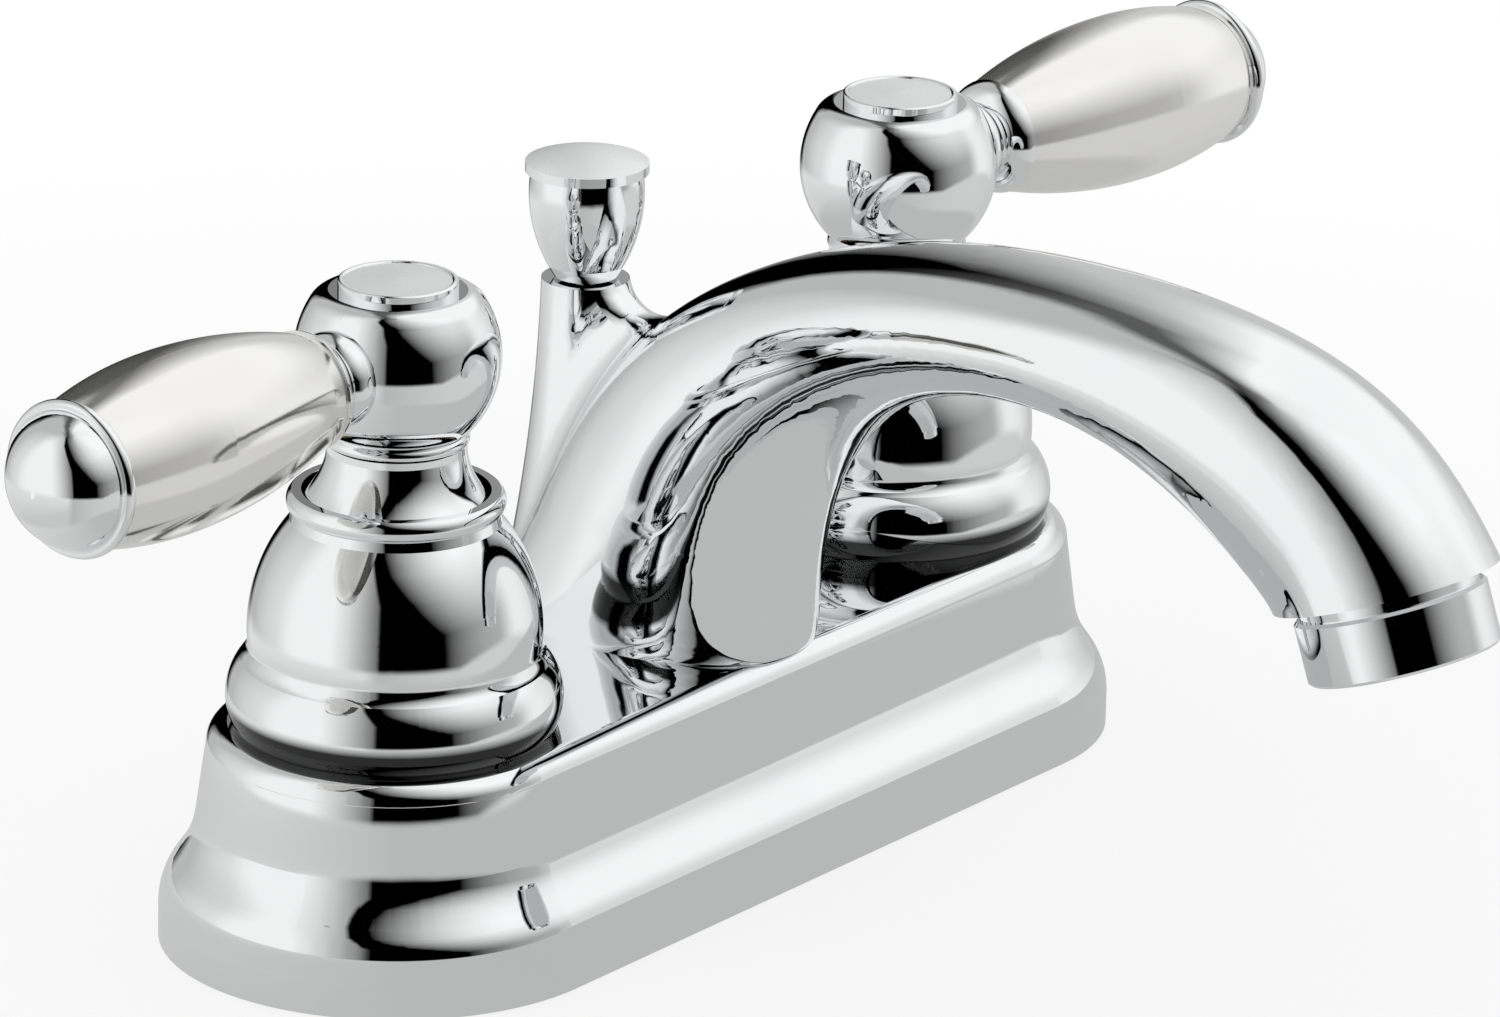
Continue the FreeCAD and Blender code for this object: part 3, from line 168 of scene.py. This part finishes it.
def dress(material, *names):
    """Give CAD nodes their finish."""
    for name in names:
        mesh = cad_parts[name].data
        mesh.materials.clear()
        mesh.materials.append(material)


cast_brass = finish(
    "cast_brass", (0.78, 0.60, 0.33), (0.62, 0.44, 0.21), 1.0, (0.38, 0.55), cloud_mm=12,
    grain_mm=0.5, grain_height_mm=0.06,
)
dress(cast_brass, "waterway")


# Shank threads
# Half-inch parallel pipe thread, cut along each shank for the mounting nut and the supply
# coupling. A ridge of triangular section winds down the whole shank at a steady pitch.

SIDES = ("left", "right")
VALVE_REACH = 50.8 * MM
SHANK_RADIUS = 10.3 * MM
THREAD_PITCH = 1.814 * MM
THREAD_DEPTH = 0.55 * MM
THREAD_TOP = -3.0 * MM
THREAD_END = -48.0 * MM
THREAD_STEPS = 40
THREAD_CORNERS = 4


def set_input(modifier, tree, label, value):
    """Set a modifier's input by its name on the tree."""
    socket = next(
        item for item in tree.interface.items_tree
        if item.item_type == "SOCKET" and item.in_out == "INPUT" and item.name == label
    )
    modifier[socket.identifier] = value


def thread_tree(material):
    """Ridge swept along a spiral, from its radius, pitch, depth and length."""
    tree = bpy.data.node_groups.new("thread_ridge", "GeometryNodeTree")
    tree.interface.new_socket("Geometry", in_out="INPUT", socket_type="NodeSocketGeometry")
    for label in ("Radius", "Pitch", "Depth", "Length"):
        tree.interface.new_socket(label, in_out="INPUT", socket_type="NodeSocketFloat")
    tree.interface.new_socket("Geometry", in_out="OUTPUT", socket_type="NodeSocketGeometry")
    entry = tree.nodes.new("NodeGroupInput")
    exit_ = tree.nodes.new("NodeGroupOutput")
    radius = Signal(tree, entry.outputs["Radius"])
    length = Signal(tree, entry.outputs["Length"])
    turns = length / Signal(tree, entry.outputs["Pitch"])
    spiral = tree.nodes.new("GeometryNodeCurveSpiral")
    spiral.inputs["Resolution"].default_value = THREAD_STEPS
    for label, signal in (
        ("Rotations", turns), ("Start Radius", radius), ("End Radius", radius), ("Height", length),
    ):
        tree.links.new(signal.socket, spiral.inputs[label])
    section = tree.nodes.new("GeometryNodeCurvePrimitiveCircle")
    section.inputs["Resolution"].default_value = THREAD_CORNERS
    tree.links.new(entry.outputs["Depth"], section.inputs["Radius"])
    sweep = tree.nodes.new("GeometryNodeCurveToMesh")
    sweep.inputs["Fill Caps"].default_value = True
    tree.links.new(spiral.outputs["Curve"], sweep.inputs["Curve"])
    tree.links.new(section.outputs["Curve"], sweep.inputs["Profile Curve"])
    real = tree.nodes.new("GeometryNodeRealizeInstances")
    tree.links.new(sweep.outputs["Mesh"], real.inputs["Geometry"])
    paint = tree.nodes.new("GeometryNodeSetMaterial")
    paint.inputs["Material"].default_value = material
    tree.links.new(real.outputs["Geometry"], paint.inputs["Geometry"])
    tree.links.new(paint.outputs["Geometry"], exit_.inputs["Geometry"])
    return tree


def grown(name, tree, values):
    """Plain mesh object from a geometry node tree and its named values."""
    seed = bpy.data.objects.new(name + "_seed", bpy.data.meshes.new(name + "_seed"))
    bpy.context.collection.objects.link(seed)
    modifier = seed.modifiers.new("grow", "NODES")
    modifier.node_group = tree
    for label, value in values.items():
        set_input(modifier, tree, label, value)
    ready = seed.evaluated_get(bpy.context.evaluated_depsgraph_get())
    mesh = bpy.data.meshes.new_from_object(ready)
    seed.modifiers.clear()
    bpy.data.objects.remove(seed)
    mesh.name = name
    piece = bpy.data.objects.new(name, mesh)
    bpy.context.collection.objects.link(piece)
    return piece


turned_brass = finish(
    "turned_brass", (0.82, 0.66, 0.38), (0.72, 0.54, 0.28), 1.0, (0.22, 0.34), cloud_mm=6,
    grain_mm=0.3, grain_height_mm=0.01,
)
ridge_tree = thread_tree(turned_brass)
for side, sign in zip(SIDES, (-1, 1)):
    thread = grown(
        f"shank_thread_{side}",
        ridge_tree,
        {
            "Radius": SHANK_RADIUS,
            "Pitch": THREAD_PITCH,
            "Depth": THREAD_DEPTH,
            "Length": THREAD_TOP - THREAD_END,
        },
    )
    thread.data.transform(Matrix.Translation((sign * VALVE_REACH, 0, THREAD_END)))
    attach(thread, "faucet_body")


# Ceramic-disc valves
# Each has a rubber seat, a fixed and a turning ceramic disc lapped flat against each other, a
# brass cartridge, and a turned brass stem with its ring, held down by a bonnet nut.

rubber = finish(
    "seal_rubber", (0.045, 0.045, 0.047), (0.026, 0.026, 0.028), 0.0, (0.55, 0.75), cloud_mm=5,
    grain_mm=0.35, grain_height_mm=0.03,
)
lapped_ceramic = finish(
    "lapped_ceramic", (0.92, 0.90, 0.86), (0.86, 0.84, 0.79), 0.0, (0.16, 0.30), cloud_mm=4,
    grain_mm=0.2,
)
for side in SIDES:
    dress(rubber, f"seat_seal_{side}", f"stem_o_ring_{side}")
    dress(lapped_ceramic, f"fixed_disc_{side}", f"moving_disc_{side}")
    dress(turned_brass, f"cartridge_{side}", f"stem_{side}", f"bonnet_nut_{side}")


# Base
# A shallow zinc shell with a stepped skirt, polished and chrome plated, on a rubber gasket
# that seals it to the sink. Its wall and its skirt are a little hollow.

SKIRT_FOOT = 4.5 * MM
SHOULDER_FOOT = 9.3 * MM
WALL_FOOT = 15.0 * MM
WALL_TOP = 26.2 * MM
HOLLOW = 0.85 * MM
chrome = finish(
    "plated_chrome", (0.885, 0.890, 0.895), (0.862, 0.868, 0.874), 1.0, (0.012, 0.035),
    cloud_mm=22, grain_mm=1.2,
)


def plating(name):
    """Another plated finish, with its shader, its place in the part and how far it faces up."""
    material = chrome.copy()
    material.name = name
    tree = material.node_tree
    split = tree.nodes.new("ShaderNodeSeparateXYZ")
    tree.links.new(tree.nodes.new("ShaderNodeTexCoord").outputs["Object"], split.inputs[0])
    place = [Signal(tree, split.outputs[axis]) for axis in "XYZ"]
    lean = tree.nodes.new("ShaderNodeSeparateXYZ")
    tree.links.new(tree.nodes.new("ShaderNodeNewGeometry").outputs["Normal"], lean.inputs[0])
    return material, tree.nodes["Principled BSDF"], place, Signal(tree, lean.outputs["Z"])


def relieve(material, shader, height):
    """Give a finish a relief from a height in metres."""
    relief = material.node_tree.nodes.new("ShaderNodeBump")
    relief.inputs["Distance"].default_value = 1.0
    material.node_tree.links.new(height.socket, relief.inputs["Height"])
    material.node_tree.links.new(relief.outputs["Normal"], shader.inputs["Normal"])


def base_plating():
    """The plating with a relief: wall and skirt hollow, the shoulder between them fuller."""
    material, shader, (_, _, height), _ = plating("base_chrome")
    skirt = height.ramp(SKIRT_FOOT, SHOULDER_FOOT, 0.0, HOLLOW, smooth=True)
    shoulder = height.ramp(SHOULDER_FOOT, WALL_FOOT, 0.0, HOLLOW, smooth=True)
    wall = height.ramp(WALL_FOOT, WALL_TOP, 0.0, HOLLOW, smooth=True)
    relieve(material, shader, skirt - shoulder + wall)
    return material


dress(base_plating(), "deck_plate")
dress(rubber, "base_gasket")


# Bells
# Turned and plated covers over the valves. Under its lowest bead each one has a ring of painted shade:
# the plating's colour is darkened there to nearly black all the way round.

# Painted shade round the bell's foot: the heights where it fades out, and its darkest tone.
FOOT_PAINTED_SHADE_BAND = (30.6 * MM, 31.6 * MM)
FOOT_PAINTED_SHADE_TONE = 0.05


def bell_plating_with_painted_shade():
    """The plating with painted shade: its colour darkened to nearly black round the bell's foot."""
    material, shader, (_, _, height), _ = plating("bell_chrome_painted_shade")
    tree = material.node_tree
    shade = tree.nodes.new("ShaderNodeMix")
    shade.data_type = "RGBA"
    shade.blend_type = "MULTIPLY"
    shade.inputs["Factor"].default_value = 1.0
    polished = shader.inputs["Base Color"].links[0].from_socket
    tree.links.new(polished, shade.inputs["A"])
    # Painted shade: below the bead the plating's colour is multiplied down to nearly black.
    tree.links.new(height.ramp(*FOOT_PAINTED_SHADE_BAND, FOOT_PAINTED_SHADE_TONE, 1.0).socket, shade.inputs["B"])
    tree.links.new(shade.outputs["Result"], shader.inputs["Base Color"])
    return material


bell_chrome_painted_shade = bell_plating_with_painted_shade()
for side in SIDES:
    dress(bell_chrome_painted_shade, f"bell_{side}")


# Handles
# A plated ball hub with a snapped-in button over its steel screw, and a lever whose barrel has
# a slightly warmer plating than its end cap.

SATIN = 0.25
SATIN_PALE = 0.8
BUTTON_TOP = (0.93, 0.97)
LEVER_AXIS = 75.1 * MM
LEVER_TURN = {"left": 0, "right": 6}
DOME_RADIUS = 8.8 * MM
DOME_FLAT = 1.6 * MM
DOME_ROUND = 2.0 * MM
warm_chrome = finish(
    "lever_chrome", (0.885, 0.880, 0.862), (0.868, 0.862, 0.842), 0.86, (0.07, 0.11), cloud_mm=18,
    grain_mm=0.9,
)
steel = finish(
    "screw_steel", (0.62, 0.62, 0.61), (0.52, 0.52, 0.52), 1.0, (0.25, 0.4), cloud_mm=3,
    grain_mm=0.25, grain_height_mm=0.01,
)


def satin_top(name, start, end):
    """The plating with a pale satin area on the faces that look up."""
    material, shader, _, lean = plating(name)
    tree = material.node_tree
    share = lean.ramp(start, end)
    polished = Signal(tree, shader.inputs["Roughness"].links[0].from_socket)
    tree.links.new((polished + share * SATIN).socket, shader.inputs["Roughness"])
    tree.links.new((share * -SATIN_PALE + 1.0).socket, shader.inputs["Metallic"])
    return material


def cap_plating(side):
    """The plating with a relief: the dome flatter in the middle and rounder near its rim."""
    material, shader, (x, y, z), _ = plating(f"cap_chrome_{side}")
    turn = math.radians(LEVER_TURN[side])
    across = (x - VALVE_REACH) * math.sin(turn) + y * math.cos(turn)
    upward = z - LEVER_AXIS
    outward = ((across * across + upward * upward) * (1 / DOME_RADIUS ** 2)).math("MINIMUM", 1.0)
    relieve(material, shader, outward * DOME_FLAT - outward * outward * DOME_ROUND)
    return material


button_chrome = satin_top("button_chrome", *BUTTON_TOP)
for side in SIDES:
    dress(chrome, f"handle_hub_{side}")
    dress(cap_plating(side), f"lever_end_cap_{side}")
    dress(button_chrome, f"index_button_{side}")
    dress(warm_chrome, f"lever_barrel_{side}")
    dress(steel, f"handle_screw_{side}")


# Spout
# One arched casting, polished and plated, with two rubber rings on its nipple and a brass nut
# that pulls it down onto the base.

dress(chrome, "spout")
dress(rubber, "spout_o_rings")
dress(turned_brass, "spout_nut")


# Aerator
# A plated ring screwed into the spout's end, with a moulded insert that breaks up the stream.

nozzle_plastic = finish(
    "nozzle_plastic", (0.80, 0.80, 0.78), (0.74, 0.74, 0.72), 0.0, (0.35, 0.5), cloud_mm=5,
    grain_mm=0.3, grain_height_mm=0.01,
)
dress(chrome, "aerator_housing")
dress(nozzle_plastic, "aerator_insert")
dress(rubber, "aerator_washer")


# Drain lift
# A plated rod behind the spout, with a flared knob whose top is satin.

KNOB_TOP = (0.75, 0.85)
dress(chrome, "lift_rod")
dress(satin_top("knob_chrome", *KNOB_TOP), "lift_knob")


# Fixings under the sink
# Steel washers and moulded wing nuts on the shanks.

moulded_black = finish(
    "moulded_nut", (0.125, 0.125, 0.13), (0.095, 0.095, 0.10), 0.0, (0.42, 0.6), cloud_mm=9,
    grain_mm=0.4, grain_height_mm=0.02,
)
for side in SIDES:
    dress(steel, f"shank_washer_{side}")
    dress(moulded_black, f"mounting_nut_{side}")


# Sink deck
# The pale surface that the base stands on. To the camera it is white apart from a soft shadow, and it
# fades into the background. The plating mirrors only the part of it close to the base, and there the
# deck glows with painted light: a grey, brighter towards one side and with no shadow on it. From below
# the deck can be looked through.

DECK_RADIUS = 700.0 * MM
DECK_DROP = 0.2 * MM
DECK_STEPS = 96
DECK_TONE = 0.86
DECK_WHITE = 0.8
SHADOW_REACH = (130.0 * MM, 300.0 * MM)
MIRROR_REACH = (95.0 * MM, 115.0 * MM)
# Painted light on the deck in reflections: the grey of its glow and the way it grows brighter.
PAINTED_MIRROR_LIGHT = (0.54, 0.72)
PAINTED_LIGHT_WAY = (-0.64, 0.77)
PAINTED_LIGHT_REACH = (30.0 * MM, 120.0 * MM)


def ray_kinds(tree):
    """Sockets that say which kind of ray is being traced."""
    return tree.nodes.new("ShaderNodeLightPath").outputs


def blend(tree, share, first, second):
    """Mix of two shaders by a share of the second."""
    node = tree.nodes.new("ShaderNodeMixShader")
    tree.links.new(share.socket, node.inputs["Fac"])
    tree.links.new(first, node.inputs[1])
    tree.links.new(second, node.inputs[2])
    return node.outputs[0]


def deck_material():
    """White and shaded for the camera, a grey glow of painted light in reflections that grows brighter
    towards one side, matt for the light.
    """
    material = bpy.data.materials.new("pale_deck")
    material.use_nodes = True
    tree = material.node_tree
    tree.nodes.remove(tree.nodes["Principled BSDF"])
    output = tree.nodes["Material Output"]
    rays = ray_kinds(tree)
    place = tree.nodes.new("ShaderNodeSeparateXYZ")
    tree.links.new(tree.nodes.new("ShaderNodeTexCoord").outputs["Object"], place.inputs[0])
    across = Signal(tree, place.outputs["X"])
    along = Signal(tree, place.outputs["Y"])
    distance = (across * across + along * along).math("SQRT")
    past_valve = (across.math("ABSOLUTE") - VALVE_REACH).math("MAXIMUM", 0)
    from_base = (past_valve * past_valve + along * along).math("SQRT")
    matt = tree.nodes.new("ShaderNodeBsdfDiffuse")
    matt.inputs["Color"].default_value = (DECK_TONE, DECK_TONE, DECK_TONE, 1)
    seen = tree.nodes.new("ShaderNodeEmission")
    seen.inputs["Color"].default_value = (1, 1, 1, 1)
    # Painted light: in reflections the deck glows grey, brighter towards one side, with no shadow.
    mirrored = tree.nodes.new("ShaderNodeEmission")
    painted_light_along = across * PAINTED_LIGHT_WAY[0] + along * PAINTED_LIGHT_WAY[1]
    tone = painted_light_along.ramp(*PAINTED_LIGHT_REACH, *PAINTED_MIRROR_LIGHT)
    tree.links.new(tone.socket, mirrored.inputs["Strength"])
    clear = tree.nodes.new("ShaderNodeBsdfTransparent")
    share = Signal(tree, rays["Is Camera Ray"]) * distance.ramp(*SHADOW_REACH, DECK_WHITE, 1.0)
    for_camera = blend(tree, share, matt.outputs[0], seen.outputs[0])
    far = from_base.ramp(*MIRROR_REACH, smooth=True)
    for_mirror = blend(tree, far, mirrored.outputs[0], clear.outputs[0])
    above = blend(tree, Signal(tree, rays["Is Glossy Ray"]), for_camera, for_mirror)
    below = Signal(tree, tree.nodes.new("ShaderNodeNewGeometry").outputs["Backfacing"])
    surface = blend(tree, below, above, clear.outputs[0])
    tree.links.new(surface, output.inputs["Surface"])
    return material


bpy.ops.mesh.primitive_circle_add(vertices=DECK_STEPS, radius=DECK_RADIUS, fill_type="NGON")
deck = bpy.context.object
deck.name = "sink_deck"
deck.data.transform(Matrix.Translation((0, 0, -DECK_DROP)))
deck.data.materials.append(deck_material())


# Studio
# Two tall white walls stand either side of the part. The gap between them gives the plating its
# black bands: wide and low on the camera's side, narrow over the top and behind.

GAP_HEADING = -50.0
PLATING = 0.87
PLAIN_LIGHT = 0.9
BEHIND = (0.1, -0.3)

# Each row is a ramp: what is read goes from the first number to the second, and the result from
# the third to the fourth. Elevations are in degrees, and sideways is -1 to 1, left being 1.
RIGHT_EDGE_LOW = (5, 45, -0.6, 0.1)
RIGHT_EDGE_HIGH = (45, 85, 0, 0.37)
RIGHT_FRONT = (0, 0.92, 0, 0.92)
LEFT_EDGE = (25, 65, 0.21, 0.44)
LEFT_EDGE_BLUR = (0, 0.05, 0, 1)
LEFT_FRONT = (0.2, 0.78, 0.09, 0.86)
GAP_TURN = (52, 82, 0, 0.24)
RIGHT_BACK_NEAR = (0.05, -0.1, 0, 0.52)
RIGHT_BACK_FAR = (-0.5, -0.9, 0, 0.3)
RIGHT_BACK_HIGH = (0.06, -0.26, 0, 0.9)
RIGHT_BACK_RISE = (14, 26, 0, 1)
LEFT_BACK_EDGE = (20, 42, 0.33, 0.08)
LEFT_BACK_NEAR = (0, 0.14, 0, 0.46)
LEFT_BACK_FAR = (0.6, 1, 0, 0.26)
GAP_GLOW = (28, 46, 0, 0.1)
GROUND_LEFT = (0.2, 0.45, 0, 1)
GROUND_ACROSS = (-1, 0.2, 0.6, 0.46)
GROUND_INTO_WALL = (-40, -8, 0.55, 0.78)
HORIZON = (-0.75, -1.05, -17, -8)
HORIZON_BLUR = (-2.5, 2.5, 0, 1)


def studio_world():
    """Walls and ground for the plating to mirror, read from the direction that a ray takes."""
    world = bpy.data.worlds.new("studio")
    world.use_nodes = True
    tree = world.node_tree
    rays = ray_kinds(tree)
    heading = math.radians(GAP_HEADING)
    towards_camera = (math.sin(heading), -math.cos(heading), 0)
    to_the_left = (-math.cos(heading), -math.sin(heading), 0)
    look = tree.nodes.new("ShaderNodeTexCoord").outputs["Generated"]

    def along(direction):
        node = tree.nodes.new("ShaderNodeVectorMath")
        node.operation = "DOT_PRODUCT"
        tree.links.new(look, node.inputs[0])
        node.inputs[1].default_value = direction
        return Signal(tree, node.outputs["Value"])

    def mixed(first, second, share):
        return first + (second - first) * share

    # Elevation, and sideways stretched a little towards the zenith
    height = along((0, 0, 1))
    elevation = height.math("ARCSINE") * math.degrees(1)
    level = (height * height * -1.0 + 1.0).math("MAXIMUM", 1e-4).math("POWER", 0.25)
    side = along(to_the_left) / level
    behind = along(towards_camera).ramp(*BEHIND, smooth=True)

    # Camera's side: the higher one looks, the further round both walls move to the left
    right_edge = elevation.ramp(*RIGHT_EDGE_LOW) + elevation.ramp(*RIGHT_EDGE_HIGH)
    right_front = (right_edge - side).ramp(*RIGHT_FRONT)
    left_edge = side - elevation.ramp(*LEFT_EDGE)
    left_front = left_edge.ramp(*LEFT_EDGE_BLUR) * side.ramp(*LEFT_FRONT)

    # Far side: a narrow gap that turns left overhead, with dimmer walls low down
    turned = elevation.ramp(*GAP_TURN)
    right_low = side.ramp(*RIGHT_BACK_NEAR) + side.ramp(*RIGHT_BACK_FAR)
    right_high = (side - turned).ramp(*RIGHT_BACK_HIGH)
    right_back = mixed(right_low, right_high, elevation.ramp(*RIGHT_BACK_RISE))
    left_start = elevation.ramp(*LEFT_BACK_EDGE) + turned
    left_back = (side - left_start).ramp(*LEFT_BACK_NEAR) + side.ramp(*LEFT_BACK_FAR)

    right = mixed(right_front, right_back, behind)
    left = mixed(left_front, left_back, behind)
    walls = right.math("MAXIMUM", left).math("MAXIMUM", elevation.ramp(*GAP_GLOW) * behind)

    # Ground: it ends at a line that rises to the right, and runs up into the left wall
    into_wall = elevation.ramp(*GROUND_INTO_WALL)
    ground = mixed(side.ramp(*GROUND_ACROSS), into_wall, side.ramp(*GROUND_LEFT, smooth=True))
    above = (elevation - side.ramp(*HORIZON)).ramp(*HORIZON_BLUR, smooth=True)
    mirrored = mixed(ground, walls, above)

    # The camera sees plain white, the plating sees the walls, and all else gets a plain light
    glossy = Signal(tree, rays["Is Glossy Ray"])
    strength = (mirrored * (1 / PLATING) - PLAIN_LIGHT) * glossy + PLAIN_LIGHT
    camera = Signal(tree, rays["Is Camera Ray"])
    strength = strength * (camera * -1.0 + 1.0) + camera
    background = tree.nodes["Background"]
    background.inputs["Color"].default_value = (1, 1, 1, 1)
    tree.links.new(strength.socket, background.inputs["Strength"])
    return world


bpy.context.scene.world = studio_world()
bpy.context.scene.view_settings.view_transform = "Standard"


# Camera
# A long lens to the front left of the part and a little above it, rolled by about a degree.

CAMERA_AZIMUTH = -52.97
CAMERA_ELEVATION = 19.33
CAMERA_ROLL = 1.19
CAMERA_DISTANCE = 1331.0 * MM
CAMERA_PAN = (13.27 * MM, 39.49 * MM)
PHOTO_WIDTH = 1500
FOCAL_PIXELS = 10472
SENSOR_WIDTH = 36.0

azimuth, elevation, roll = map(math.radians, (CAMERA_AZIMUTH, CAMERA_ELEVATION, CAMERA_ROLL))
back = Vector((
    math.sin(azimuth) * math.cos(elevation),
    -math.cos(azimuth) * math.cos(elevation),
    math.sin(elevation),
))
level_right = Vector((math.cos(azimuth), math.sin(azimuth), 0))
level_up = back.cross(level_right)
right = level_right * math.cos(roll) + level_up * math.sin(roll)
up = level_up * math.cos(roll) - level_right * math.sin(roll)

camera = bpy.data.objects.new("camera", bpy.data.cameras.new("camera"))
bpy.context.collection.objects.link(camera)
camera.data.sensor_width = SENSOR_WIDTH
camera.data.lens = FOCAL_PIXELS / PHOTO_WIDTH * SENSOR_WIDTH
camera.data.clip_start = 0.05
camera.data.clip_end = 20
place = Matrix((right, up, back)).transposed().to_4x4()
place.translation = right * CAMERA_PAN[0] + up * CAMERA_PAN[1] + back * CAMERA_DISTANCE
camera.matrix_world = place
bpy.context.scene.camera = camera
